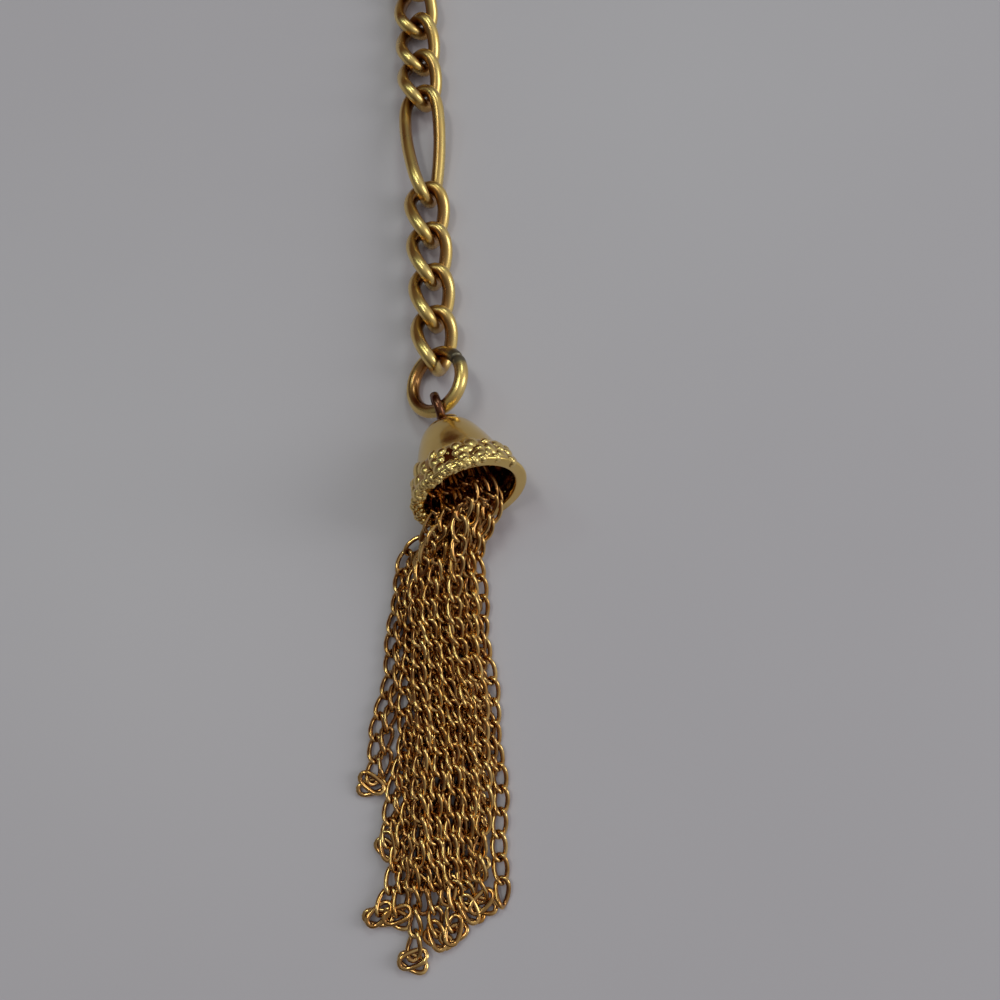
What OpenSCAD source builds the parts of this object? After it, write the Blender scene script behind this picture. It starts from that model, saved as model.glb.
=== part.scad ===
// Tassel necklace lying flat: a curb chain of small and long links, a short drop of the same chain,
// and a bell cap with a tassel of fine chains. +Z is up, the tassel points to -Y, the neck loop to +Y.

/* [Chain] */
// Diameter of the wire in the links
link_wire = 1.4; // [1.1:0.05:1.45]
// Width of a link between the middles of its two sides
link_wid = 3.85; // [3.8:0.05:4.5]
// Length of a small link between the middles of its two ends
small_len = 6.7; // [6.6:0.05:7.6]
// Length of a long link between the middles of its two ends
long_len = 14.25; // [12:0.05:18]
// Room left between two links where one pulls on the other
link_room = 0.16; // [0.12:0.01:0.25]
// Angle by which each end of a link is twisted away from its middle
link_twist = 50; // [48:1:52]
// Number of small links between two long ones
small_run = 4; // [4:1:6]
// Number of times the small and long pattern repeats on each side of the neck
neck_repeats = 8; // [5:1:12]

/* [Neck loop] */
// Angle between the drop and each side of the neck loop where they meet
neck_spread = 52; // [48:1:60]
// Diameter of the ring that joins the drop to both sides of the neck, to the middle of its wire
junction_dia = 7.6; // [7.4:0.1:10]
// Diameter of the closed ring clasp, to the middle of its wire
clasp_dia = 8.4; // [7.4:0.1:12]
// Diameter of the wire in the junction ring
junction_wire = 1; // [0.8:0.05:1.05]
// Diameter of the wire in the clasp
clasp_wire = 1; // [0.8:0.05:1.05]
// Diameter of the clasp's barrel
clasp_barrel = 1.8; // [1.4:0.1:2.2]

/* [Jump ring] */
// Diameter of the jump ring to the middle of its wire
jump_dia = 6.65; // [6.3:0.05:7.5]
// Diameter of the wire in the jump ring
jump_wire = 1.45; // [1.1:0.05:1.5]
// Angle at which the jump ring leans sideways
jump_lean = 36; // [32:1:40]
// Angle at which the jump ring rises towards the bell cap
jump_rise = 6; // [4:1:8]

/* [Bell cap] */
// Length of the bell cap along its own axis
bell_len = 9.3; // [8.5:0.1:11]
// Outer diameter of the bell cap at its mouth
bell_dia = 12; // [11:0.1:14]
// Thickness of the bell cap's wall
bell_wall = 0.75; // [0.5:0.05:0.9]
// Width of the smooth lip round the mouth
lip_wid = 1.1; // [0.9:0.05:1.3]
// Diameter of the hole in the top of the bell cap
bell_hole = 1.3; // [1.1:0.1:1.6]
// Angle by which the mouth points upwards
bell_tilt = 15; // [10:1:18]
// Angle by which the mouth points to the right of the drop
bell_turn = 15; // [10:1:20]
// Diameter of one grain in the raised band
grain_dia = 0.85; // [0.6:0.05:0.9]
// Number of rows of grains
grain_rows = 3; // [2:1:3]

/* [Hanger] */
// Diameter of the hanger's wire
hanger_wire = 0.7; // [0.6:0.05:0.8]
// Inner diameter of the hanger's eye
eye_bore = 2.5; // [2.35:0.05:2.65]

/* [Tassel] */
// Length of the tassel past the mouth of the bell cap
tassel_len = 43.3; // [40:0.1:46]
// Width of one strand of fine chain
strand_wid = 1.6; // [1.3:0.1:1.8]
// Thickness of one strand of fine chain
strand_thick = 1; // [0.8:0.05:1.2]
// Diameter of the head that holds the strands inside the bell cap
head_dia = 5; // [4.6:0.1:5.2]
// Thickness of the head
head_thick = 1.2; // [0.8:0.1:1.6]

/* [Hidden] */
gold = "#b08a3c";
dark_gold = "#8a6526";
link_blunt = 0.75;
link_corners = 10;
fine_corners = 14;
link_sides = 5;
fine_sides = 6;
round_detail = 48;
wire_detail = 24;
// Room where a link hooks a ring, as a share of link_room
ring_slack = 1.2;

// How a link of a neck chain lies: its roll and tilt in degrees, with its rise as a share of link_wid
// between them
pose_flat = [0, 0, 0];
pose_below_long = [-7.6, 0.11, 5.8];
pose_long = [-21, 0.181, -1.8];
pose_above_long = [-7.4, 0.073, -6.1];
pose_at_ring = [-21.5, 0.114, -1.7];
pose_after_ring = [-10.3, 0.048, -4];
// The same for the drop, from the jump ring upwards: its lower links lie rolled to one side
drop_at_jump = [-26, 0.147, -0.1];
drop_rolled = [-26, 0.126, 0];
drop_long = [-21.1, 0.15, -0.5];
drop_above_long = [-8.1, 0.09, -4.4];
drop_flat = [2, 0.022, -1.5];
drop_before_ring = [12.1, 0.051, 3.9];
drop_at_ring = [22.3, 0.114, 1.7];
ring_height = 0.565 * link_wid;
// The clasp's barrel is an arc of this many degrees at the back of the loop
barrel_arc = 60;

// Outside of the bell cap: distance from its top as a share of bell_len, radius as a share of bell_dia / 2
bell_outside = [
    [0, 0.13], [0.045, 0.29], [0.12, 0.43], [0.22, 0.53], [0.35, 0.62], [0.47, 0.69],
    [0.58, 0.75], [0.64, 0.79], [0.67, 0.845], [0.75, 0.885], [0.84, 0.905], [0.93, 0.91]
];
// The rolled lip at its mouth, in the same shares
bell_lip = [[0.94, 0.97], [0.96, 1], [0.985, 1], [1, 0.97]];
// Where the rows of grains lie along the bell cap, in shares of its length
grain_places = [0.705, 0.795, 0.885];
grain_sink = 0.2 * grain_dia;
grain_pitch = 1.2 * grain_dia;
lip_hollow = 0.2 * bell_wall;
// Diameter of the flat end that keeps the hanger from pulling out of the bell cap
stop_dia = bell_hole + 1.15 * hanger_wire;

// Each strand's place in the mouth, to the right and up from the middle, in percent of bell_dia
strand_places = [
    [-29, -9], [-25.8, -19.2], [-18, -25.5], [-10, -19.2], [-3.3, -29.2], [5, -21.7],
    [11.7, -29.2], [20.8, -21.7], [-18.3, -7.5], [-5.8, -10], [5.8, -9.2], [0.8, 0], [18.3, -8.3]
];
// Where each strand comes over the lip: right of the mouth's middle and along Y from it, in percent of
// bell_dia, and the height above the surface as a share of strand_thick
strand_exits = [
    [-34, -28.5, 3.1], [-30.8, -25, 3.7], [-24.2, -25.8, 2.5], [-16.7, -19.2, 3.1],
    [-9.2, -19.2, 1.9], [-0.8, -19.2, 2.9], [5.8, -19.2, 1.9], [12.5, -19.2, 2.7], [-27.5, -17.5, 4.4],
    [-16.7, -17.5, 4.3], [-5.8, -17.5, 4.2], [-10, -15.8, 5.3], [6.7, -17.5, 3.9]
];
// The route of each strand from there, in the same way but in percent of tassel_len
strand_routes = [
    [[-15, -11.8, 0.8], [-19.2, -26.1, 0.6], [-22.4, -42.3, 0.6], [-24.7, -51.5, 0.6],
        [-26.3, -59.6, 0.6], [-27.9, -65.4, 0.7]],
    [[-13.2, -12.2, 1.6], [-15.9, -26.1, 1.1], [-17.8, -44.6, 0.7], [-18.9, -53.8, 0.6],
        [-21.5, -65.4, 0.6], [-24.5, -78.8, 0.7]],
    [[-10.9, -12.2, 0.8], [-13.2, -26.1, 0.6], [-14.8, -44.6, 0.6], [-16.4, -56.1, 0.6],
        [-18.7, -67.7, 0.6], [-21.9, -80.4, 0.6], [-26.3, -90.8, 0.7]],
    [[-8.5, -12.2, 1.6], [-10.4, -26.1, 1.1], [-11.3, -44.6, 0.6], [-13.4, -60.7, 0.6],
        [-17.6, -76.9, 0.6], [-21.7, -88.5, 0.7]],
    [[-6.2, -12.2, 0.7], [-7.6, -26.1, 0.6], [-7.9, -44.6, 0.6], [-9.5, -60.7, 0.6],
        [-13.2, -74.6, 0.6], [-16.6, -82.7, 0.6]],
    [[-3.9, -12.2, 1.6], [-4.8, -26.1, 1.1], [-4.4, -44.6, 0.6], [-5.3, -60.7, 0.6],
        [-7.9, -75.8, 0.6], [-9.9, -85, 0.6]],
    [[-1.6, -12.2, 0.7], [-2.1, -26.1, 0.6], [-1.2, -44.6, 0.6], [-1.8, -60.7, 0.6],
        [-3.5, -74.6, 0.6], [-4.4, -82.7, 0.6]],
    [[0.7, -12.2, 1.2], [0.5, -26.1, 0.7], [1.4, -42.3, 0.6], [2.1, -60.7, 0.6], [1.6, -76.9, 0.6],
        [0.5, -90.8, 0.6]],
    [[-12, -12.2, 2.7], [-14.5, -26.1, 1.9], [-14.1, -44.6, 1.6], [-15.2, -60.7, 1.6],
        [-16.9, -78.1, 1.5], [-18, -88.5, 0.8], [-19.2, -100, 0.7]],
    [[-8.8, -12.2, 2.8], [-11.1, -26.1, 2.1], [-10.6, -44.6, 1.6], [-11.1, -60.7, 1.6],
        [-13.2, -76.9, 1.5], [-13.2, -87.3, 0.9], [-13.4, -95.8, 0.7]],
    [[-5.8, -12.2, 2.8], [-7.9, -26.1, 2.1], [-7.4, -44.6, 1.6], [-7.6, -60.7, 1.6],
        [-9.2, -78.1, 1.5], [-9.5, -87.3, 0.9], [-9.5, -93.1, 0.7]],
    [[-4.4, -12.2, 3.7], [-5.3, -26.1, 2.5], [-4.4, -44.6, 1.6], [-4.4, -60.7, 1.6],
        [-6, -76.9, 1.5], [-6.5, -86.1, 0.8], [-6.5, -91.2, 0.7]],
    [[-0.9, -12.2, 2.4], [-1.8, -26.1, 1.7], [-1.4, -44.6, 1.6], [-0.9, -60.7, 1.6],
        [-2.8, -75.8, 1.5], [-3.9, -85, 0.8], [-3.9, -89.4, 0.7]]
];
strand_sides = 6;
strand_pace = 0.1 * tassel_len;
// How far the strands are drawn together under the head and just inside the mouth, in shares of their places
head_bunch = 0.5;
head_lift = 0.033 * bell_dia;
throat_bunch = 0.9;
throat_along = 0.75 * bell_len;
head_along = 0.27 * bell_len;
tip_wid = 1.3 * strand_wid;

drop_count = 2 * small_run + 1;
neck_count = neck_repeats * (small_run + 1) + small_run;
neck_reach = hook_reach(junction_dia / 2, junction_wire);
clasp_reach = hook_reach(clasp_dia / 2, clasp_wire);
jump_end = jump_dia / 2 * cos(jump_rise);
jump_reach = hook_reach(jump_end, jump_wire);
chain_height = link_wire / 2 - min([for (row = link_path(small_len, 0, link_corners)) row[0].z]);

drop_starts = chain_starts(drop_count, jump_reach);
neck_starts = chain_starts(neck_count, neck_reach);
junction_y = drop_starts[drop_count - 1] + small_len / 2 + neck_reach;
neck_side_len = neck_starts[neck_count - 1] + small_len / 2 + clasp_reach;

loop_steps = 120;
loop_table = arc_table(loop_steps);
loop_scale = neck_side_len / loop_table[loop_steps][0];
clasp_y = junction_y + 2 * loop_scale;

bell_radius = bell_dia / 2;
bell_axis = [
    sin(bell_turn) * cos(bell_tilt), -cos(bell_turn) * cos(bell_tilt), sin(bell_tilt)
];
bell_right = [cos(bell_turn), sin(bell_turn), 0];
bell_up = cross(bell_right, -bell_axis);
bell_rows = concat(bell_outside, bell_lip);
bell_rest = max(concat(
    [for (row = bell_rows) row[1] * bell_radius * cos(bell_tilt) - row[0] * bell_len * sin(bell_tilt)],
    [for (place = grain_places)
        (grain_ring(place) + grain_dia / 2) * cos(bell_tilt) - place * bell_len * sin(bell_tilt)]
));
eye_ring = (eye_bore + hanger_wire) / 2;
eye_out = eye_ring + hanger_wire / 2;
bell_top = [eye_out * bell_axis.x, -jump_end + eye_out * bell_axis.y, bell_rest];
jump_height = bell_rest - eye_out * bell_axis.z - jump_dia / 2 * sin(jump_rise);

mouth = in_bell(0, 0, bell_len);
tassel_end = mouth.y - tip_wid / 2
    + min([for (route = strand_routes) min([for (row = route) row.y])]) * tassel_len / 100;
clasp_end = clasp_y + clasp_dia / 2 + clasp_barrel / 2;
drop_y = -(tassel_end + clasp_end) / 2;

function unit(v) = v / norm(v);
function signed_pow(v, power) = sign(v) * pow(abs(v), power);

// From the middle of a ring to the end of a link that hooks it, between the middles of their wires
function hook_reach(radius, wire) = radius - (wire + link_wire) / 2 - ring_slack * link_room;

// Which links are long, and how long each one is
function is_long(i) = i % (small_run + 1) == small_run;
function link_len(i) = is_long(i) ? long_len : small_len;

// Distance of each link's middle along its chain, where the first link hooks a ring at reach
function chain_starts(count, reach) = [
    for (i = 0, at = reach + link_len(0) / 2; i < count;
        at = at + (link_len(i) + link_len(i + 1)) / 2 - link_wire - link_room, i = i + 1) at
];

// A pose seen from the other end of the chain
function turned(pose) = [-pose[0], pose[1], -pose[2]];

function neck_pose(i) =
    i == 0 ? pose_at_ring :
    i == 1 ? pose_after_ring :
    i == neck_count - 1 ? turned(pose_at_ring) :
    i == neck_count - 2 ? turned(pose_after_ring) :
    is_long(i) ? pose_long :
    is_long(i + 1) ? pose_below_long :
    is_long(i - 1) ? pose_above_long :
    pose_flat;

function drop_pose(i) =
    i == 0 ? drop_at_jump :
    i < small_run ? drop_rolled :
    i == small_run ? drop_long :
    i == small_run + 1 ? drop_above_long :
    i == drop_count - 1 ? drop_at_ring :
    i == drop_count - 2 ? drop_before_ring :
    drop_flat;

// Corners of a link's wire about its own middle, each with the direction that faces up from its flat
function link_path(len, roll, corners) = [
    for (k = [0 : corners - 1])
        let (
            t = (k + 0.5) * 360 / corners,
            grow = 1 / cos(180 / corners),
            straight = (len - small_len) / 2,
            end_part = signed_pow(cos(t) * grow, link_blunt) * small_len / 2,
            along = end_part + (abs(cos(t)) < 0.001 ? 0 : sign(cos(t)) * straight),
            across = signed_pow(sin(t) * grow, link_blunt) * link_wid / 2,
            turn = roll + link_twist * along / (len / 2)
        )
        [[along, across * cos(turn), across * sin(turn)], [0, -sin(turn), cos(turn)]]
];

// Points of a closed wire loop: one ring of points at each corner of the path
function loop_points(path, wire, sides) = [
    for (i = [0 : len(path) - 1])
        let (
            before = path[(i + len(path) - 1) % len(path)][0],
            after = path[(i + 1) % len(path)][0],
            ahead = unit(after - before),
            out = unit(cross(ahead, path[i][1])),
            up = cross(out, ahead)
        )
        for (j = [0 : sides - 1])
            let (a = 360 * (j + 0.5) / sides)
            path[i][0] + wire / 2 * (cos(a) * out + sin(a) * up)
];

// Triangles of that loop, with its points starting at first
function loop_faces(rings, sides, first) = [
    for (i = [0 : rings - 1], j = [0 : sides - 1])
        let (
            a = first + i * sides + j,
            b = first + i * sides + (j + 1) % sides,
            c = first + (i + 1) % rings * sides + (j + 1) % sides,
            d = first + (i + 1) % rings * sides + j
        )
        each [[a, b, c], [a, c, d]]
];

// Moves points from a link's own frame to its place in the chain
function placed(points, centre, ahead, pose) =
    let (
        side = [ahead.y, -ahead.x, 0],
        along = ahead * cos(pose[2]) + [0, 0, sin(pose[2])],
        up = [0, 0, cos(pose[2])] - ahead * sin(pose[2])
    )
    [for (p = points) centre + p.x * along + p.y * side + p.z * up];

function link_points(i, pose, centre, ahead, corners, sides) = placed(
    loop_points(link_path(link_len(i), pose[0], corners), link_wire, sides),
    centre + [0, 0, chain_height + pose[1] * link_wid], ahead, pose
);

// One side of the neck loop at unit size: it leaves at an angle and closes with a round back
function loop_curve(t) = [tan(neck_spread) * sin(t) * sin(t / 2), 1 - cos(t)];
function arc_table(steps) = [
    for (k = 0, run = 0; k <= steps;
        run = run + norm(loop_curve((k + 1) * 180 / steps) - loop_curve(k * 180 / steps)), k = k + 1)
        [run, k * 180 / steps]
];
function neck_point(run, side) =
    let (p = loop_curve(lookup(run / loop_scale, loop_table)) * loop_scale)
    [side * p.x, junction_y + p.y, 0];

function neck_link(i, side) =
    let (
        half = link_len(i) / 2,
        back = neck_point(neck_starts[i] - half, side),
        front = neck_point(neck_starts[i] + half, side)
    )
    link_points(i, neck_pose(i), (back + front) / 2, unit(front - back), link_corners, link_sides);

// Radius of a row of grains, which are sunk a little into the bell cap's outside
function grain_ring(place) = lookup(place, bell_outside) * bell_radius - grain_sink;

// A point in the bell cap: to the right of its axis, above it, and along it from the top
function in_bell(right, up, along) = bell_top + right * bell_right + up * bell_up + along * bell_axis;

// A smooth line through a few points
function between(a, b, c, d, t) = (
    2 * b + (c - a) * t + (2 * a - 5 * b + 4 * c - d) * t * t + (3 * b - a - 3 * c + d) * t * t * t
) / 2;
function smooth_line(points) = [
    for (i = [0 : len(points) - 2])
        let (
            a = points[max(0, i - 1)],
            b = points[i],
            c = points[i + 1],
            d = points[min(len(points) - 1, i + 2)],
            steps = max(1, round(norm(c - b) / strand_pace))
        )
        for (k = [0 : steps - 1]) between(a, b, c, d, k / steps),
    points[len(points) - 1]
];

// A point beside the mouth, from a row that is in percent of a length
function on_surface(row, length) = [
    mouth.x + row.x * length / 100, mouth.y + row.y * length / 100, row.z * strand_thick
];

// Where a strand starts under the head, where it passes the mouth, and then its route
function strand_line(i) =
    let (place = strand_places[i] * bell_dia / 100)
    smooth_line(concat(
        [
            in_bell(place.x * head_bunch, place.y * head_bunch + head_lift, head_along + head_thick / 2),
            in_bell(place.x * throat_bunch, place.y * throat_bunch, throat_along),
            in_bell(place.x, place.y, bell_len),
            on_surface(strand_exits[i], bell_dia)
        ],
        [for (row = strand_routes[i]) on_surface(row, tassel_len)]
    ));

// Points of an open strip with an oval section
function strip_points(line) = [
    for (i = [0 : len(line) - 1])
        let (
            ahead = unit(line[min(i + 1, len(line) - 1)] - line[max(i - 1, 0)]),
            side = unit(cross(ahead, [0, 0, 1])),
            up = cross(side, ahead)
        )
        for (j = [0 : strand_sides - 1])
            let (a = 360 * (j + 0.5) / strand_sides)
            line[i] + strand_wid / 2 * cos(a) * side + strand_thick / 2 * sin(a) * up
];
function strip_faces(rings) = concat(
    [[for (j = [0 : strand_sides - 1]) strand_sides - 1 - j]],
    [
        for (i = [0 : rings - 2], j = [0 : strand_sides - 1])
            let (
                a = i * strand_sides + j,
                b = i * strand_sides + (j + 1) % strand_sides
            )
            each [[a, b, b + strand_sides], [a, b + strand_sides, a + strand_sides]]
    ],
    [[for (j = [0 : strand_sides - 1]) (rings - 1) * strand_sides + j]]
);

// Everything below the junction is made about the jump ring and then moved to its place
module in_drop() {
    translate([0, drop_y, 0]) children();
}

module in_bell_frame() {
    translate(bell_top) rotate([90 - bell_tilt, 0, bell_turn]) children();
}

module wire_ring(dia, wire) {
    rotate_extrude($fn = round_detail) translate([dia / 2, 0]) circle(d = wire, $fn = wire_detail);
}

module drop_link(i) {
    points = link_points(
        i, drop_pose(i), [0, drop_starts[i], 0], [0, 1, 0], fine_corners, fine_sides
    );
    color(gold) in_drop() polyhedron(points, loop_faces(fine_corners, fine_sides, 0));
}

module neck_chain(side) {
    points = [for (i = [0 : neck_count - 1]) each neck_link(i, side)];
    faces = [
        for (i = [0 : neck_count - 1])
            each loop_faces(link_corners, link_sides, i * link_corners * link_sides)
    ];
    color(gold) in_drop() polyhedron(points, faces);
}

module junction_ring() {
    color(gold) in_drop()
        translate([0, junction_y, ring_height]) wire_ring(junction_dia, junction_wire);
}

module clasp_ring() {
    color(gold) in_drop() translate([0, clasp_y, ring_height]) {
        wire_ring(clasp_dia, clasp_wire);
        rotate([0, 0, 90 - barrel_arc / 2]) rotate_extrude(angle = barrel_arc, $fn = round_detail)
            translate([clasp_dia / 2, 0]) circle(d = clasp_barrel, $fn = wire_detail);
    }
}

module jump_ring() {
    color(gold) in_drop()
        translate([0, 0, jump_height]) rotate([-jump_rise, 0, 0]) rotate([0, -jump_lean, 0])
            wire_ring(jump_dia, jump_wire);
}

module hanger_eye() {
    shank_end = head_along - hanger_wire;
    color(gold) in_drop() in_bell_frame() {
        translate([0, 0, -eye_out]) rotate([0, 90, 0]) wire_ring(2 * eye_ring, hanger_wire);
        translate([0, 0, -eye_out + eye_ring]) cylinder(d = hanger_wire, h = eye_out - eye_ring + shank_end);
        translate([0, 0, shank_end - hanger_wire]) cylinder(d = stop_dia, h = hanger_wire);
    }
}

module bell_cap() {
    inside = [
        for (row = bell_outside) if (row[0] > 0.1)
            [max(bell_hole / 2, row[1] * bell_radius - bell_wall), row[0] * bell_len]
    ];
    outside = [for (row = bell_rows) [row[1] * bell_radius, row[0] * bell_len]];
    mouth = [
        [bell_radius - lip_wid, bell_len],
        [bell_radius - lip_wid - lip_hollow, bell_len - lip_wid / 2],
        [bell_radius - lip_wid, bell_len - lip_wid]
    ];
    top = [[bell_hole / 2, bell_wall], [bell_hole / 2, 0]];
    profile = concat(
        outside, mouth, [for (k = [len(inside) - 2 : -1 : 0]) inside[k]], top
    );
    color(gold) in_drop() in_bell_frame() {
        rotate_extrude($fn = round_detail) polygon(profile);
        for (row = [0 : grain_rows - 1]) grain_row(row);
    }
}

module grain_row(row) {
    ring = grain_ring(grain_places[row]);
    count = floor(2 * PI * ring / grain_pitch);
    for (k = [0 : count - 1])
        rotate([0, 0, (k + row / 2) * 360 / count])
            translate([ring, 0, grain_places[row] * bell_len]) sphere(d = grain_dia, $fn = 16);
}

module strand(i) {
    line = strand_line(i);
    polyhedron(strip_points(line), strip_faces(len(line)));
    tip(line[len(line) - 1]);
}

// The last link of a strand, which lies flat
module tip(point) {
    hull() {
        translate([point.x, point.y, strand_thick / 2])
            cylinder(d = tip_wid, h = strand_thick / 2, center = true, $fn = 10);
        translate([point.x, point.y, strand_thick / 2])
            cylinder(d = strand_wid, h = strand_thick, center = true, $fn = 10);
    }
}

module tassel() {
    color(dark_gold) in_drop() {
        in_bell_frame() translate([0, 0, head_along]) cylinder(d = head_dia, h = head_thick, $fn = 16);
        for (i = [0 : len(strand_routes) - 1]) strand(i);
    }
}

for (i = [1 : drop_count])
    drop_link(i - 1);
neck_chain(-1);  // neck_chain_left
neck_chain(1);  // neck_chain_right
junction_ring();
clasp_ring();
jump_ring();
hanger_eye();
bell_cap();
tassel();
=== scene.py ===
"""Looks of the tassel necklace: round-wire curb links, a jump ring with its joint, a granulated bell cap and a tassel
of fine curb chains, lying on a pale surface. Lengths are in millimetres until a mesh is made."""

import math

import bpy
import numpy as np
from mathutils import Matrix, Vector


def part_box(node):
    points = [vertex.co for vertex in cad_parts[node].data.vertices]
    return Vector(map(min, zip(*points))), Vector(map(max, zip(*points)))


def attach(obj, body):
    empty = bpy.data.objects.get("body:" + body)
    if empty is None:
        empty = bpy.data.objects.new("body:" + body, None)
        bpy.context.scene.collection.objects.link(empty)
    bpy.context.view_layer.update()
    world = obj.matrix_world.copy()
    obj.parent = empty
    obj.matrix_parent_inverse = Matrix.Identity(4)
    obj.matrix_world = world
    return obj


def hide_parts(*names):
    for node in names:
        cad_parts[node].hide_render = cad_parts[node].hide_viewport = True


MM = 0.001
SEED = 7

# The room's light: its level all round and its colour, and the azimuth and elevation of each soft lobe, how narrow
# it is and how strong
WORLD_LEVEL = 0.12
WORLD_COLOUR = (0.99, 0.99, 1.0)
WORLD_LOBES = [(0, 90, 2.0, 0.14), (92, 28, 2.2, 0.4), (195, 15, 3.0, -0.05)]
# Dark wood low down in the room: azimuth and elevation, how narrow it is and how much it covers
WOOD_COLOUR = (0.42, 0.12, 0.06)
WOOD_LOBES = [(335, 0, 5.5, 2.2), (200, 10, 5.0, 0.7)]
# Lamps: name, azimuth, elevation, width and height, radiance, colour
LAMPS = [
    ("window", 93, 30, (0.4, 0.7), 2.8, (0.95, 1.0, 0.95)),
    ("back_lamp", 20, 53, (0.36, 0.24), 4, (0.82, 1.0, 0.9)),
    ("side_lamp", 300, 47, (0.15, 0.15), 5, (0.72, 1.0, 0.88)),
    ("ceiling_1", 312, 64, (0.17, 0.17), 7.5, (0.8, 1.0, 0.88)),
    ("ceiling_2", 297, 70, (0.12, 0.12), 11, (1.0, 0.98, 0.88)),
    ("ceiling_3", 276, 75, (0.12, 0.12), 11, (1.0, 0.98, 0.88)),
]
LAMP_DISTANCE = 1.0

# The table: its width and how far it lies below the part, in metres, and the two colours that it drifts between
FLOOR_SIZE = 6
FLOOR_DROP = 0.00002
FLOOR_COLOURS = ((0.56, 0.522, 0.576), (0.58, 0.542, 0.596))
FLOOR_ROUGHNESS = 0.45
FLOOR_GRAIN = 40

# The camera: its place from the jump ring's middle, where the picture's right points, how many degrees down it looks,
# its lens and its sensor
CAMERA_PLACE = (3.69, -43.54, 107.66)
CAMERA_RIGHT = (0.99756, -0.06976)
CAMERA_DOWN = 74
CAMERA_LENS = 38.16
SENSOR_WIDTH = 36

# The chain, as in the construction. RING_SLACK is a share of LINK_ROOM, and NECK_SPREAD is the angle between the drop
# and each side of the loop.
CAD_WIRE = 1.4
LINK_WID = 3.85
SMALL_LEN = 6.7
LONG_LEN = 14.25
LINK_ROOM = 0.16
LINK_TWIST = 50.0
LINK_BLUNT = 0.75
LINK_CORNERS = 10
SMALL_RUN = 4
NECK_REPEATS = 8
RING_SLACK = 1.2
NECK_SPREAD = 52

# The links' round wire here, a little thicker than the wire with corners, the points along a small and a long link's
# wire and the sides of the wire
WIRE = 1.43
DROP_POINTS = (64, 104)
DROP_SIDES = 18
NECK_POINTS = (40, 64)
NECK_SIDES = 12

# Painted shade between the links: the cosines of the angle to the link's middle where a wire's inner side starts and
# where it is darkest, the painted shade at a link's ends with its reach and the length over which it fades, and how
# strong and how wide it is where two links touch
INNER_FROM = -0.35
INNER_TO = 0.55
END_SHADE = 0.8
END_REACH = 1.2
END_FADE = 0.8
CONTACT_SHADE = 0.85
CONTACT_REACH = 0.75

# How a link of a neck chain lies: roll in degrees, rise as a share of LINK_WID, tilt in degrees
POSE_FLAT = (0, 0, 0)
POSE_BELOW_LONG = (-7.6, 0.11, 5.8)
POSE_LONG = (-21, 0.181, -1.8)
POSE_ABOVE_LONG = (-7.4, 0.073, -6.1)
POSE_AT_RING = (-21.5, 0.114, -1.7)
POSE_AFTER_RING = (-10.3, 0.048, -4)
# The same for the drop's nine links, from the jump ring upwards
DROP_POSES = [
    (-26, 0.147, -0.1), (-26, 0.126, 0), (-26, 0.126, 0), (-26, 0.126, 0), (-21.1, 0.15, -0.5),
    (-8.1, 0.09, -4.4), (2, 0.022, -1.5), (12.1, 0.051, 3.9), (22.3, 0.114, 1.7),
]

# Junction ring and clasp: diameters to the wire's middle, wire, and the clasp's barrel with its arc
JUNCTION_DIA = 7.6
CLASP_DIA = 8.4
RING_WIRE = 1.0
CLASP_BARREL = 1.8
BARREL_ARC = 60
# Jump ring: diameter and wire, and how many degrees it leans to the side and rises towards the bell cap
JUMP_DIA = 6.65
JUMP_WIRE = 1.45
JUMP_LEAN = 36
JUMP_RISE = 6
# The joint where the jump ring's two ends meet: its place round the ring and its gap in degrees, how far one end
# stands aside, over what length the ends are rounded, and how far the tarnish reaches and how strong it is at most
JOINT_PLACE = 29
JOINT_GAP = 1.6
JOINT_STEP = 0.07
JOINT_ROUNDING = 0.12
TARNISH_REACH = 0.95
TARNISH_MOST = 0.95

# Bell cap: its length, mouth, wall, lip, the hole in its top and its lie in degrees, and the rows of its outside and
# its lip as shares of its length and of half its width
BELL_LEN = 9.3
BELL_DIA = 12.0
BELL_WALL = 0.75
LIP_WID = 1.1
BELL_HOLE = 1.3
BELL_TILT = 15
BELL_TURN = 15
BELL_OUTSIDE = [
    (0, 0.13), (0.045, 0.29), (0.12, 0.43), (0.22, 0.53), (0.35, 0.62), (0.47, 0.69),
    (0.58, 0.75), (0.64, 0.79), (0.67, 0.845), (0.75, 0.885), (0.84, 0.905), (0.93, 0.91),
]
BELL_LIP = [(0.94, 0.97), (0.96, 1.0), (0.985, 1.0), (1.0, 0.97)]
# Where the band starts and where its rows of grains lie, as shares of BELL_LEN, the grains' radii, and the step
# between them on a circle that lies GRAIN_SINK inside the band's outside
BAND_START = 0.66
GRAIN_PLACES = (0.705, 0.795, 0.885)
GRAIN_RADII = (0.5, 0.82)
GRAIN_STEP = 1.3
GRAIN_SINK = 0.17
# How far the grains stand out of the band, and half their thickness at most
GRAIN_TOP = 0.3
GRAIN_DEPTH = 0.5
# Small grains scattered over the band: how many, between which shares of BELL_LEN, and their radii
SMALL_GRAINS = 90
SMALL_GRAIN_PLACES = (0.665, 0.935)
SMALL_GRAIN_RADII = (0.14, 0.26)
# Grains that run over the lip and round the mouth's edge: how many of each, their radii, and where they lie in
# degrees round the bell cap's axis
EDGE_GRAINS = 44
EDGE_GRAIN_RADII = (0.32, 0.56)
LIP_GRAINS = (30, 235)
MOUTH_GRAINS = (74, 235)

# Hanger: its wire, its eye's bore, from where to where the eye is bent in degrees, how much its wire is stretched to
# the sides, the radius of the head on its shank, and its free end in the bell cap's frame
HANGER_WIRE = 0.7
EYE_BORE = 2.5
EYE_ARC = (-90, 250)
EYE_SQUASH = 1.35
SHANK_HEAD = 1.05
HANGER_FOLD = [(0.4, 0.3, -0.55), (0.75, 0.62, -0.2), (1.1, 0.85, 0.12), (1.45, 0.95, 0.5)]
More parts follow.
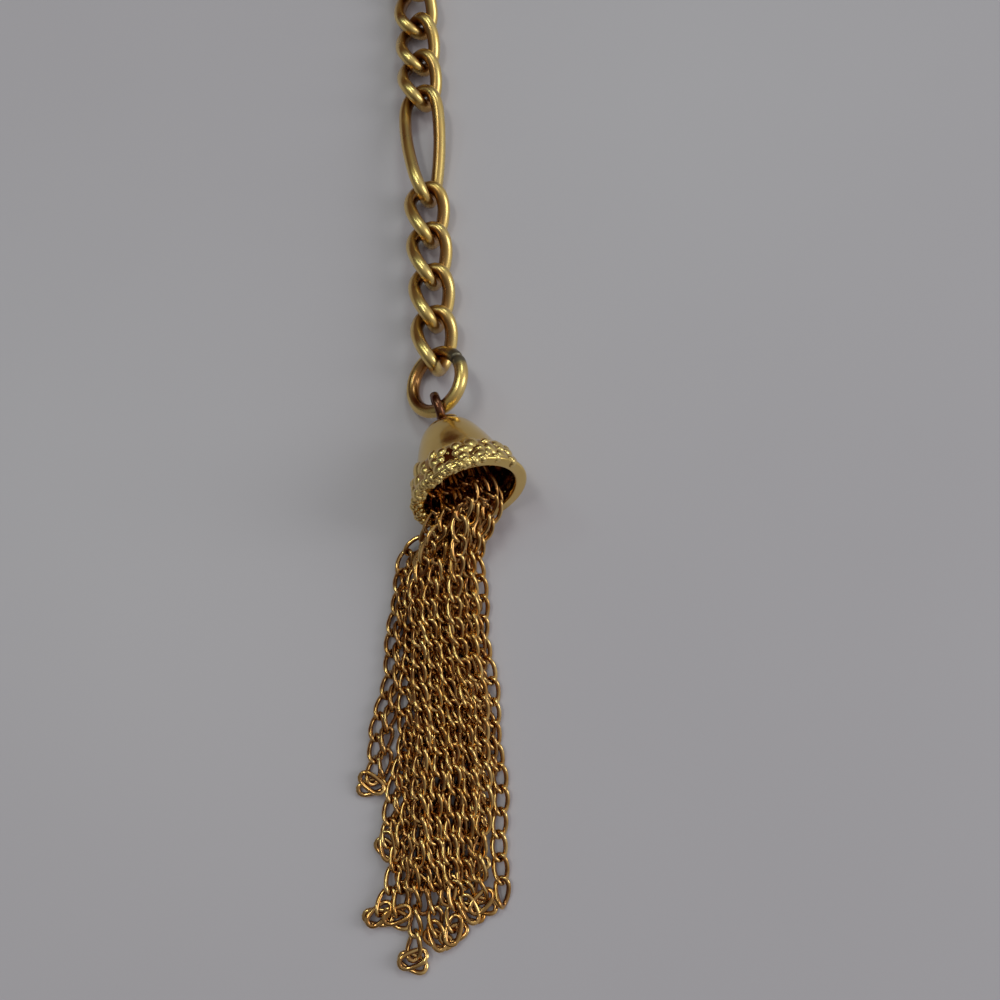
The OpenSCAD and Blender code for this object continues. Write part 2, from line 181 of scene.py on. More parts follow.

# Colours of painted shade in hollows and on the hanger's eye, of the jump ring's tarnished joint and of duller grains
PAINTED_SHADE_COLOUR = (0.29, 0.11, 0.026)
EYE_SHADOW_COLOUR = (0.15, 0.052, 0.02)
TARNISH_COLOUR = (0.15, 0.13, 0.095)
GRAIN_COLOUR = (0.9, 0.68, 0.27)
# How much of the duller colour the grains have, the roughness that full tarnish adds, the clear coat's weight and
# roughness, and the strength and depth of the fine scratches
GRAIN_DULL = 0.45
TARNISH_ROUGHNESS = 0.25
COAT_WEIGHT = 0.4
COAT_ROUGHNESS = 0.08
SCRATCH_STRENGTH = 0.12
SCRATCH_DEPTH = 0.02
# Metals: bright and deep colour, least and greatest roughness, strength of the painted shade, and how fine the drift
# is
CHAIN_METAL = ((0.9, 0.67, 0.24), (0.85, 0.58, 0.17), (0.24, 0.36), 0.85, 420)
RING_METAL = ((0.88, 0.65, 0.23), (0.78, 0.51, 0.15), (0.2, 0.32), 0.9, 420)
HANGER_METAL = ((0.84, 0.68, 0.26), (0.76, 0.55, 0.17), (0.2, 0.32), 1.0, 420)
BELL_METAL = ((0.84, 0.6, 0.19), (0.77, 0.52, 0.15), (0.1, 0.2), 0.85, 300)
TASSEL_METAL = ((0.92, 0.62, 0.23), (0.52, 0.24, 0.04), (0.06, 0.18), 0.95, 600)

# Fine chain of the tassel: a link's length, width and wire, the step from link to link, the share of the wire's
# radius at which it is cut flat, its twist, and how far a strand waves to its sides
FINE_LEN = 2.65
FINE_WID = 1.28
FINE_WIRE = 0.48
FINE_PITCH = 2.1
FINE_FLAT = 0.78
FINE_TWIST = 48
WAVE_SIZE = 0.18
# Points along a link and sides of its wire, for the strands and for the darker ones between them
STRAND_DETAIL = (24, 8)
FILLER_DETAIL = (18, 6)
# The least height of a grain or a fine link above the surface
SURFACE_GAP = 0.01
# The strands at the tassel's two edges lie flatter than the rest, and the right one ends without loose links
OUTER_STRANDS = (0, 1, 7)
RIGHT_STRAND = 7
# How far the links roll at most, in degrees: in the outer strands, the inner ones and the darker ones between them,
# and from one link to the next
OUTER_ROLL = 15
INNER_ROLL = 55
FILLER_ROLL = 60
ROLL_JITTER = 10
# Painted shade on the strands inside the bell cap, and on the darker ones everywhere
MOUTH_SHADE = 0.9
FILLER_SHADE = 0.6
# Settling: how often it is repeated, how far strands keep from each other, the least height of their middle lines,
# and how strongly the outer and the inner ones are drawn back to their routes
SETTLE_ROUNDS = 160
STRANDS_APART = 1.42
STRAND_HEIGHT = 0.55
HOLD_OUTER = 0.3
HOLD_INNER = 0.04
# How much shorter some strands of fine chain are than their lines, and how far the left one bows out near the bell
# cap, about which place along the drop and over what length
STRAND_CUTS = {0: 2.1, 1: 2.1, 7: 0.7}
LEFT_BOW = (0.75, -19.5, 3.5)
# Strands that fill the rest of the tassel: the two that each lies between, the share of their length where it ends,
# and the height that it keeps below
FILLER_STRANDS = [
    (0, 1, 0.92, 0.45), (1, 2, 0.93, 0.45), (2, 3, 0.93, 0.45), (3, 4, 0.93, 0.45), (4, 5, 0.93, 0.45),
    (5, 6, 0.93, 0.45), (6, 7, 0.93, 0.45), (8, 9, 0.93, 1.1), (9, 10, 0.93, 1.1), (10, 11, 0.93, 1.1),
    (11, 12, 0.93, 1.1), (8, 11, 0.3, 1.4), (9, 12, 0.3, 1.4), (3, 9, 0.3, 1.4), (5, 12, 0.3, 1.4),
]
# The tassel's head inside the bell cap, how far above its axis the strands hang there, and the tassel's length
HEAD_ALONG = 0.27 * BELL_LEN
HEAD_DIA = 5.0
HEAD_THICK = 1.2
HEAD_LIFT = 0.033 * BELL_DIA
TASSEL_LEN = 43.3

# Each strand's place in the mouth and where it comes over the lip, in percent of BELL_DIA, and its route from there
# over the surface, in percent of TASSEL_LEN, all as in the construction
STRAND_PLACES = [
    [-29, -9], [-25.8, -19.2], [-18, -25.5], [-10, -19.2], [-3.3, -29.2], [5, -21.7],
    [11.7, -29.2], [20.8, -21.7], [-18.3, -7.5], [-5.8, -10], [5.8, -9.2], [0.8, 0], [18.3, -8.3]
]
STRAND_EXITS = [
    [-34, -28.5, 3.1], [-30.8, -25, 3.7], [-24.2, -25.8, 2.5], [-16.7, -19.2, 3.1],
    [-9.2, -19.2, 1.9], [-0.8, -19.2, 2.9], [5.8, -19.2, 1.9], [12.5, -19.2, 2.7], [-27.5, -17.5, 4.4],
    [-16.7, -17.5, 4.3], [-5.8, -17.5, 4.2], [-10, -15.8, 5.3], [6.7, -17.5, 3.9]
]
STRAND_ROUTES = [
    [[-15, -11.8, 0.8], [-19.2, -26.1, 0.6], [-22.4, -42.3, 0.6], [-24.7, -51.5, 0.6],
        [-26.3, -59.6, 0.6], [-27.9, -65.4, 0.7]],
    [[-13.2, -12.2, 1.6], [-15.9, -26.1, 1.1], [-17.8, -44.6, 0.7], [-18.9, -53.8, 0.6],
        [-21.5, -65.4, 0.6], [-24.5, -78.8, 0.7]],
    [[-10.9, -12.2, 0.8], [-13.2, -26.1, 0.6], [-14.8, -44.6, 0.6], [-16.4, -56.1, 0.6],
        [-18.7, -67.7, 0.6], [-21.9, -80.4, 0.6], [-26.3, -90.8, 0.7]],
    [[-8.5, -12.2, 1.6], [-10.4, -26.1, 1.1], [-11.3, -44.6, 0.6], [-13.4, -60.7, 0.6],
        [-17.6, -76.9, 0.6], [-21.7, -88.5, 0.7]],
    [[-6.2, -12.2, 0.7], [-7.6, -26.1, 0.6], [-7.9, -44.6, 0.6], [-9.5, -60.7, 0.6],
        [-13.2, -74.6, 0.6], [-16.6, -82.7, 0.6]],
    [[-3.9, -12.2, 1.6], [-4.8, -26.1, 1.1], [-4.4, -44.6, 0.6], [-5.3, -60.7, 0.6],
        [-7.9, -75.8, 0.6], [-9.9, -85, 0.6]],
    [[-1.6, -12.2, 0.7], [-2.1, -26.1, 0.6], [-1.2, -44.6, 0.6], [-1.8, -60.7, 0.6],
        [-3.5, -74.6, 0.6], [-4.4, -82.7, 0.6]],
    [[0.7, -12.2, 1.2], [0.5, -26.1, 0.7], [1.4, -42.3, 0.6], [2.1, -60.7, 0.6], [1.6, -76.9, 0.6],
        [0.5, -90.8, 0.6]],
    [[-12, -12.2, 2.7], [-14.5, -26.1, 1.9], [-14.1, -44.6, 1.6], [-15.2, -60.7, 1.6],
        [-16.9, -78.1, 1.5], [-18, -88.5, 0.8], [-19.2, -100, 0.7]],
    [[-8.8, -12.2, 2.8], [-11.1, -26.1, 2.1], [-10.6, -44.6, 1.6], [-11.1, -60.7, 1.6],
        [-13.2, -76.9, 1.5], [-13.2, -87.3, 0.9], [-13.4, -95.8, 0.7]],
    [[-5.8, -12.2, 2.8], [-7.9, -26.1, 2.1], [-7.4, -44.6, 1.6], [-7.6, -60.7, 1.6],
        [-9.2, -78.1, 1.5], [-9.5, -87.3, 0.9], [-9.5, -93.1, 0.7]],
    [[-4.4, -12.2, 3.7], [-5.3, -26.1, 2.5], [-4.4, -44.6, 1.6], [-4.4, -60.7, 1.6],
        [-6, -76.9, 1.5], [-6.5, -86.1, 0.8], [-6.5, -91.2, 0.7]],
    [[-0.9, -12.2, 2.4], [-1.8, -26.1, 1.7], [-1.4, -44.6, 1.6], [-0.9, -60.7, 1.6],
        [-2.8, -75.8, 1.5], [-3.9, -85, 0.8], [-3.9, -89.4, 0.7]]
]


def unit(v):
    v = np.asarray(v, float)
    return v / np.linalg.norm(v, axis=-1, keepdims=True)


def signed_pow(v, power):
    return np.sign(v) * np.abs(v) ** power


def catmull(points, step):
    """A smooth line through a few points, resampled at equal steps of about the given length."""
    p = np.asarray(points, float)
    p = np.vstack([2 * p[0] - p[1], p, 2 * p[-1] - p[-2]])
    t = np.linspace(0, 1, 24, endpoint=False)[:, None]
    fine = []
    for a, b, c, d in zip(p, p[1:], p[2:], p[3:]):
        square, cube = 2 * a - 5 * b + 4 * c - d, 3 * b - a - 3 * c + d
        fine.append(0.5 * (2 * b + (c - a) * t + square * t**2 + cube * t**3))
    fine.append(p[-2:-1])
    return resampled(np.vstack(fine), step)


def run_along(line):
    """The length of a line up to each of its points."""
    return np.r_[0, np.cumsum(np.linalg.norm(np.diff(line, axis=0), axis=1))]


def resampled(line, step):
    """The same line with its points at equal steps of about the given length."""
    run = run_along(line)
    count = max(2, int(round(run[-1] / step)) + 1)
    at = np.linspace(0, run[-1], count)
    return np.stack([np.interp(at, run, line[:, k]) for k in range(line.shape[1])], axis=1)


# Meshes


class Parts:
    """Collects vertices, faces and two values per vertex, painted shade and tarnish, and joins them into one mesh."""

    def __init__(self):
        self.points, self.faces, self.shades, self.tarnishes, self.count = [], [], [], [], 0

    def add(self, points, faces, shade=0.0, tarnish=0.0):
        self.points.append(np.asarray(points, float))
        self.faces += [tuple(self.count + i for i in f) for f in faces]
        self.shades.append(np.broadcast_to(np.asarray(shade, float), (len(points),)).copy())
        self.tarnishes.append(np.broadcast_to(np.asarray(tarnish, float), (len(points),)).copy())
        self.count += len(points)

    def build(self, name, material):
        mesh = bpy.data.meshes.new(name)
        points = (np.vstack(self.points) + ORIGIN) * MM
        mesh.from_pydata(points.tolist(), [], self.faces)
        for title, values in (("shade", self.shades), ("tarnish", self.tarnishes)):
            attribute = mesh.attributes.new(title, "FLOAT", "POINT")
            attribute.data.foreach_set("value", np.concatenate(values).astype(np.float32))
        mesh.polygons.foreach_set("use_smooth", [True] * len(mesh.polygons))
        mesh.update()
        piece = bpy.data.objects.new(name, mesh)
        bpy.context.scene.collection.objects.link(piece)
        mesh.materials.append(material)
        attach(piece, "root")
        return piece


def quads(rings, steps, closed):
    """Faces between rings of points that follow each other, each with the given number of points."""
    faces = []
    for i in range(rings if closed else rings - 1):
        a, b = i * steps, (i + 1) % rings * steps
        for k in range(steps):
            m = (k + 1) % steps
            faces.append((a + k, b + k, b + m, a + m))
    return faces


def tube(path, ups, radius, sides, closed, squash=1.0, flat=2.0):
    """Points and faces of a wire along a path. ups is the direction that faces up at each point. squash stretches
    the wire that way, and flat is the share of its radius at which it is cut flat."""
    path = np.asarray(path, float)
    if closed:
        ahead = unit(np.roll(path, -1, 0) - np.roll(path, 1, 0))
    else:
        ahead = unit(np.gradient(path, axis=0))
    out = unit(np.cross(ahead, ups))
    up = np.cross(out, ahead)
    a = np.arange(sides) * 2 * math.pi / sides
    radius = np.broadcast_to(np.asarray(radius, float), (len(path),))[:, None, None]
    rise = np.clip(squash * np.sin(a), -flat, flat)
    ring = out[:, None, :] * np.cos(a)[None, :, None] + up[:, None, :] * rise[None, :, None]
    points = (path[:, None, :] + radius * ring).reshape(-1, 3)
    faces = quads(len(path), sides, closed)
    if not closed:
        faces.append(tuple(range(sides)))
        faces.append(tuple((len(path) - 1) * sides + k for k in range(sides - 1, -1, -1)))
    return points, faces


def link_line(length, width, roll, twist, straight_from, samples):
    """Middle of a link's wire about its own centre, and the direction that faces up along it."""
    t = (np.arange(720) + 0.5) * 2 * math.pi / 720
    straight = (length - straight_from) / 2
    along = signed_pow(np.cos(t), LINK_BLUNT) * straight_from / 2 + np.sign(np.cos(t)) * straight
    across = signed_pow(np.sin(t), LINK_BLUNT) * width / 2
    flat = np.stack([along, across], 1)
    flat = np.vstack([flat, flat[:1]])
    run = run_along(flat)
    at = np.arange(samples) * run[-1] / samples
    along = np.interp(at, run, flat[:, 0])
    across = np.interp(at, run, flat[:, 1])
    turn = np.radians(roll + twist * along / (length / 2))
    line = np.stack([along, across * np.cos(turn), across * np.sin(turn)], 1)
    ups = np.stack([0 * turn, -np.sin(turn), np.cos(turn)], 1)
    return line, ups


def placed(vectors, ahead, side, up):
    """Vectors given ahead, to the side and up, turned to those three directions."""
    return vectors[:, :1] * ahead + vectors[:, 1:2] * side + vectors[:, 2:] * up


def curb_wire(length, pose, centre, ahead, samples):
    """A link of the main chain in the given pose: its wire's middle, the way up along it, its own middle, and the
    painted shade at its ends."""
    roll, rise, tilt = pose
    line, ups = link_line(length, LINK_WID, roll, LINK_TWIST, SMALL_LEN, samples)
    flat_ahead = np.array([ahead[0], ahead[1], 0.0])
    side = np.array([ahead[1], -ahead[0], 0.0])
    c, s = math.cos(math.radians(tilt)), math.sin(math.radians(tilt))
    along = flat_ahead * c + np.array([0, 0, s])
    up = np.array([0, 0, c]) - flat_ahead * s
    middle = np.array([centre[0], centre[1], chain_height() + rise * LINK_WID])
    path = middle + placed(line, along, side, up)
    return path, placed(ups, along, side, up), middle, end_shade(line, length)


def end_shade(line, length):
    """Painted shade: 1 where a link's wire turns under the next link, at each of its ends, and 0 along its sides."""
    ahead, right = line[:, 0] / (length / 2), line[:, 1] / (LINK_WID / 2)
    far = np.clip((np.abs(line[:, 0]) - (length / 2 - END_REACH)) / END_FADE, 0, 1)
    under = np.clip((0.25 - np.sign(ahead) * right) / 0.5, 0, 1)
    return far * under


def with_more_shade(shade, more):
    """A painted shade with more painted shade over it."""
    return 1 - (1 - shade) * (1 - more)


def curb_link(parts, wires, i, sides):
    """Builds link i of a chain. Painted shade darkens its inner side, its ends and where the links beside it touch it.
    """
    path, ups, middle, ends = wires[i]
    points, faces = tube(path, ups, WIRE / 2, sides, True)
    shade = with_more_shade(inner_shade(points, path, middle, sides), END_SHADE * np.repeat(ends, sides))
    # Painted shade where the links beside it come near
    for k in (i - 1, i + 1):
        if 0 <= k < len(wires):
            gap = nearest(points, wires[k][0]) - WIRE / 2
            shade = with_more_shade(shade, CONTACT_SHADE * np.exp(-((gap / CONTACT_REACH) ** 2)))
    parts.add(points, faces, shade)


def nearest(points, line):
    """Distance of each point to the nearest one of a line's points."""
    return np.sqrt(((points[:, None, :] - line[None, :, :]) ** 2).sum(2).min(1))


def chain_height():
    """Height of a flat link's middle, as in the construction, where its wire has corners."""
    t = (np.arange(LINK_CORNERS) + 0.5) * 2 * math.pi / LINK_CORNERS
    grow = 1 / math.cos(math.pi / LINK_CORNERS)
    along = signed_pow(np.cos(t) * grow, LINK_BLUNT)
    across = signed_pow(np.sin(t) * grow, LINK_BLUNT) * LINK_WID / 2
    return CAD_WIRE / 2 - (across * np.sin(np.radians(LINK_TWIST * along))).min()


def inner_shade(points, path, middle, sides):
    """Painted shade: 1 on the side of the wire that faces the middle of its link, 0 on the outside."""
    wire = np.repeat(path, sides, axis=0)
    outward = unit(points - wire)
    inward = unit(middle - wire)
    share = np.clip(((outward * inward).sum(1) - INNER_FROM) / (INNER_TO - INNER_FROM), 0, 1)
    return share * share * (3 - 2 * share)


# The chain's layout


def is_long(i):
    return i % (SMALL_RUN + 1) == SMALL_RUN


def link_len(i):
    return LONG_LEN if is_long(i) else SMALL_LEN


def hook_reach(radius, wire):
    """How far from a ring's middle the end of a link lies that hooks it, both at the middle of their wire."""
    return radius - (wire + CAD_WIRE) / 2 - RING_SLACK * LINK_ROOM


def chain_starts(count, reach):
    """How far each link's middle lies from the middle of the ring that the chain starts at."""
    at, starts = reach + link_len(0) / 2, []
    for i in range(count):
        starts.append(at)
        at += (link_len(i) + link_len(i + 1)) / 2 - CAD_WIRE - LINK_ROOM
    return starts


def neck_pose(i, count):
    """How a link of a neck chain lies, for its neighbours and for the rings at both ends."""

    def turned(pose):
        return (-pose[0], pose[1], -pose[2])

    if i == 0:
        return POSE_AT_RING
    if i == 1:
        return POSE_AFTER_RING
    if i == count - 1:
        return turned(POSE_AT_RING)
    if i == count - 2:
        return turned(POSE_AFTER_RING)
    if is_long(i):
        return POSE_LONG
    if is_long(i + 1):
        return POSE_BELOW_LONG
    if is_long(i - 1):
        return POSE_ABOVE_LONG
    return POSE_FLAT


def loop_curve(t):
    """One side of the neck loop, at a size of its own, from the junction at t = 0 to the clasp at t = pi."""
    spread = math.tan(math.radians(NECK_SPREAD))
    return np.stack([spread * np.sin(t) * np.sin(t / 2), 1 - np.cos(t)], -1)


# Materials


def node_material(name):
    material = bpy.data.materials.new(name)
    material.use_nodes = True
    nodes, links = material.node_tree.nodes, material.node_tree.links
    return material, nodes, links, nodes["Principled BSDF"]


def mixed(nodes, links, factor, first, second):
    """A colour between two others. Each of them is a colour, or another node's output."""
    mix = nodes.new("ShaderNodeMix")
    mix.data_type = "RGBA"
    links.new(factor, mix.inputs[0])
    for socket, value in ((mix.inputs[6], first), (mix.inputs[7], second)):
        if isinstance(value, tuple):
            socket.default_value = (*value, 1)
        else:
            links.new(value, socket)
    return mix.outputs[2]


def calculated(nodes, links, operation, first, second, clamp=False):
    """A sum or the like of two values. Each of them is a number, or another node's output."""
    step = nodes.new("ShaderNodeMath")
    step.operation = operation
    step.use_clamp = clamp
    for socket, value in zip(step.inputs, (first, second)):
        if isinstance(value, (int, float)):
            socket.default_value = value
        else:
            links.new(value, socket)
    return step.outputs[0]


def noise(nodes, links, coords, scale, detail):
    """A random pattern over the given coordinates."""
    pattern = nodes.new("ShaderNodeTexNoise")
    pattern.inputs["Scale"].default_value = scale
    pattern.inputs["Detail"].default_value = detail
    links.new(coords, pattern.inputs["Vector"])
    return pattern.outputs["Fac"]


def mapped(nodes, links, value, given, wanted):
    """A value carried over from one range to another."""
    spread = nodes.new("ShaderNodeMapRange")
    for title, limit in zip(("From Min", "From Max", "To Min", "To Max"), (*given, *wanted)):
        spread.inputs[title].default_value = limit
    links.new(value, spread.inputs["Value"])
    return spread.outputs["Result"]


def gold(name, bright, deep, roughness, shade_strength, grain_scale, shade_colour=PAINTED_SHADE_COLOUR, dull=TARNISH_COLOUR):
    """Polished gold-tone plating. Its colour and gloss drift over the surface. Where shade is high it is painted
    darker with the colour of painted shade, and where tarnish is high it has the colour dull, with less gloss."""
    material, nodes, links, shader = node_material(name)
    shader.inputs["Metallic"].default_value = 1.0
    shader.inputs["Coat Weight"].default_value = COAT_WEIGHT
    shader.inputs["Coat Roughness"].default_value = COAT_ROUGHNESS
    coords = nodes.new("ShaderNodeTexCoord").outputs["Object"]
    drift = noise(nodes, links, coords, grain_scale, 4)
    tint = mixed(nodes, links, mapped(nodes, links, drift, (0.35, 0.7), (0, 1)), bright, deep)

    def value_of(title, strength):
        attribute = nodes.new("ShaderNodeAttribute")
        attribute.attribute_name = title
        return calculated(nodes, links, "MULTIPLY", attribute.outputs["Fac"], strength, True)

    # Painted shade: the shade colour is mixed in where the shade value is high
    brown = mixed(nodes, links, value_of("shade", shade_strength), tint, shade_colour)
    worn = mixed(nodes, links, value_of("tarnish", 1), brown, dull)
    links.new(worn, shader.inputs["Base Color"])
    gloss = mapped(nodes, links, drift, (0.3, 0.75), roughness)
    duller = calculated(nodes, links, "ADD", gloss, value_of("tarnish", TARNISH_ROUGHNESS), True)
    links.new(duller, shader.inputs["Roughness"])
    bump = nodes.new("ShaderNodeBump")
    bump.inputs["Strength"].default_value = SCRATCH_STRENGTH
    bump.inputs["Distance"].default_value = SCRATCH_DEPTH * MM
    links.new(noise(nodes, links, coords, grain_scale * 6, 6), bump.inputs["Height"])
    links.new(bump.outputs["Normal"], shader.inputs["Normal"])
    return material


def surface_material():
    material, nodes, links, shader = node_material("pale_table")
    coords = nodes.new("ShaderNodeTexCoord").outputs["Object"]
    tint = mixed(nodes, links, noise(nodes, links, coords, FLOOR_GRAIN, 5), *FLOOR_COLOURS)
    links.new(tint, shader.inputs["Base Color"])
    shader.inputs["Roughness"].default_value = FLOOR_ROUGHNESS
    return material


# Pieces


def make_drop_links(material):
    """The drop's own links, one piece each."""
    count = len(DROP_POSES)
    starts = chain_starts(count, hook_reach(JUMP_END, JUMP_WIRE))
    wires = []
    for i, pose in enumerate(DROP_POSES):
        wires.append(curb_wire(link_len(i), pose, (0, starts[i]), (0, 1), DROP_POINTS[is_long(i)]))
    for i in range(count):
        parts = Parts()
        curb_link(parts, wires, i, DROP_SIDES)
        piece = parts.build(f"curb_link_{i + 1}", material)
        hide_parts(f"drop_link_{i + 1}")


def make_neck_chain(side, node, material):
    """One side of the neck loop. side is -1 for the left and 1 for the right."""
    count = NECK_REPEATS * (SMALL_RUN + 1) + SMALL_RUN
    starts = chain_starts(count, hook_reach(JUNCTION_DIA / 2, RING_WIRE))
    total = starts[-1] + SMALL_LEN / 2 + hook_reach(CLASP_DIA / 2, RING_WIRE)
    t = np.linspace(0, math.pi, 121)
    curve = loop_curve(t)
    run = run_along(curve)
    scale = total / run[-1]

    def point(at):
        p = loop_curve(np.interp(at / scale, run, t)) * scale
        return np.array([side * p[0], JUNCTION_Y + p[1]])

    wires = []
    for i in range(count):
        half = link_len(i) / 2
        back, front = point(starts[i] - half), point(starts[i] + half)
        middle, ahead = (back + front) / 2, unit(front - back)
        wires.append(curb_wire(link_len(i), neck_pose(i, count), middle, ahead, NECK_POINTS[is_long(i)]))
    parts = Parts()
    for i in range(count):
        curb_link(parts, wires, i, NECK_SIDES)
    piece = parts.build(node + "_links", material)
    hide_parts(node)


def ring_frame(lean, rise):
    """Directions of a ring's plane: right, ahead and its axis."""
    turn = Matrix.Rotation(math.radians(-rise), 3, "X") @ Matrix.Rotation(math.radians(-lean), 3, "Y")
    return [np.array(turn @ Vector(v)) for v in ((1, 0, 0), (0, 1, 0), (0, 0, 1))]


def make_jump_ring(material):
    """The jump ring, with the tarnished joint where its two ends meet."""
    low, high = box_mm("jump_ring")
    middle = (low + high) / 2
    right, ahead, axis = ring_frame(JUMP_LEAN, JUMP_RISE)
    joint, gap = math.radians(JOINT_PLACE), math.radians(JOINT_GAP)
    t = np.linspace(joint + gap / 2, joint + 2 * math.pi - gap / 2, 120)
    from_joint = np.minimum(t - t[0], t[-1] - t) * JUMP_DIA / 2
    step = JOINT_STEP * np.exp(-((t - t[0]) * 6))
    path = middle + np.outer(np.cos(t), right) * JUMP_DIA / 2 + np.outer(np.sin(t), ahead) * JUMP_DIA / 2
    path = path + np.outer(step, axis)
    radius = JUMP_WIRE / 2 * (1 - 0.1 * np.exp(-from_joint / JOINT_ROUNDING))
    sides = 28
    points, faces = tube(path, np.tile(axis, (len(t), 1)), radius, sides, False)
    tarnish = np.clip(1.3 * np.exp(-((from_joint / TARNISH_REACH) ** 4)), 0, TARNISH_MOST)
    parts = Parts()
    # Painted shade on the wire's inner side, and tarnish at the joint
    parts.add(points, faces, inner_shade(points, path, middle, sides), np.repeat(tarnish, sides))
    piece = parts.build("jump_ring_wire", material)
    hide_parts("jump_ring")


def plain_ring(parts, middle, dia, wire, sides=24, steps=96):
    """A flat ring of round wire."""
    t = np.arange(steps) * 2 * math.pi / steps
    path = middle + np.stack([np.cos(t) * dia / 2, np.sin(t) * dia / 2, 0 * t], 1)
    points, faces = tube(path, np.tile([0.0, 0, 1], (steps, 1)), wire / 2, sides, True)
    # Painted shade on the ring's inner side
    parts.add(points, faces, 0.4 * inner_shade(points, path, middle, sides))


def make_junction_ring(material):
    low, high = box_mm("junction_ring")
    parts = Parts()
    plain_ring(parts, (low + high) / 2, JUNCTION_DIA, RING_WIRE)
    piece = parts.build("junction_ring_wire", material)
    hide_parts("junction_ring")


def make_clasp(material):
    """The clasp: a plain ring with a thicker barrel on its far side."""
    low, high = box_mm("clasp_ring")
    middle = np.array([0, high[1] - CLASP_BARREL / 2 - CLASP_DIA / 2, (low[2] + high[2]) / 2])
    parts = Parts()
    plain_ring(parts, middle, CLASP_DIA, RING_WIRE)
    a = np.radians(np.linspace(90 - BARREL_ARC / 2, 90 + BARREL_ARC / 2, 40))
    path = middle + np.stack([np.cos(a), np.sin(a), 0 * a], 1) * CLASP_DIA / 2
    from_end = np.minimum(a - a[0], a[-1] - a) * CLASP_DIA / 2
    radius = CLASP_BARREL / 2 * np.clip(0.72 + from_end * 1.1, 0, 1)
    points, faces = tube(path, np.tile([0.0, 0, 1], (len(a), 1)), radius, 28, False)
    parts.add(points, faces)
    piece = parts.build("clasp_ring_body", material)
    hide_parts("clasp_ring")


def in_bell(right, up, along):
    """A point in the bell cap's own frame: beside its axis, above it, and along it from the top."""
    return BELL_TOP + np.outer(right, BELL_RIGHT) + np.outer(up, BELL_UP) + np.outer(along, BELL_AXIS)


def outside_at(share):
    """Radius of the bell cap's outside at a share of its length."""
    rows = BELL_OUTSIDE
    return np.interp(share, [r[0] for r in rows], [r[1] for r in rows]) * BELL_DIA / 2


def revolve(parts, profile, steps, shade):
    """A closed profile of (radius, along) turned about the bell cap's axis."""
    profile = np.asarray(profile, float)
    a = np.arange(steps) * 2 * math.pi / steps
    radius, along = profile[:, 0][:, None], profile[:, 1][:, None]
    right = (radius * np.cos(a)).ravel()
    up = (radius * np.sin(a)).ravel()
    points = in_bell(right, up, np.repeat(along, steps, 1).ravel())
    faces = [(a, d, c, b) for a, b, c, d in quads(len(profile), steps, True)]
    parts.add(points, faces, np.repeat(np.broadcast_to(shade, len(profile)), steps))


def disc(parts, radius, top, thick, steps, shade):
    """A flat head across the bell cap's axis. A pinhole keeps its middle from closing up."""
    hole = 0.02
    revolve(parts, [(hole, top), (radius, top), (radius, top + thick), (hole, top + thick)], steps, shade)


def ball(parts, centre, radii, axes, rings, steps, shade, tarnish):
    """A grain: a ball stretched along three axes, kept clear of the surface."""
    lat = np.linspace(0, math.pi, rings + 1)[1:-1]
    lon = np.arange(steps) * 2 * math.pi / steps
    points = [np.array([[0, 0, 1.0]])]
    for v in lat:
        level = np.full(steps, math.cos(v))
        points.append(np.stack([np.sin(v) * np.cos(lon), np.sin(v) * np.sin(lon), level], 1))
    points.append(np.array([[0, 0, -1.0]]))
    points = np.vstack(points) * radii
    last = len(points) - 1
    faces = [(0, 1 + k, 1 + (k + 1) % steps) for k in range(steps)]
    for i in range(len(lat) - 1):
        for k in range(steps):
            m = (k + 1) % steps
            a = 1 + i * steps
            faces.append((a + k, a + steps + k, a + steps + m, a + m))
    a = 1 + (len(lat) - 1) * steps
    faces += [(last, a + (k + 1) % steps, a + k) for k in range(steps)]
    points = centre + points @ np.asarray(axes)
    points[:, 2] += max(0.0, SURFACE_GAP - points[:, 2].min())
    parts.add(points, faces, shade, tarnish)


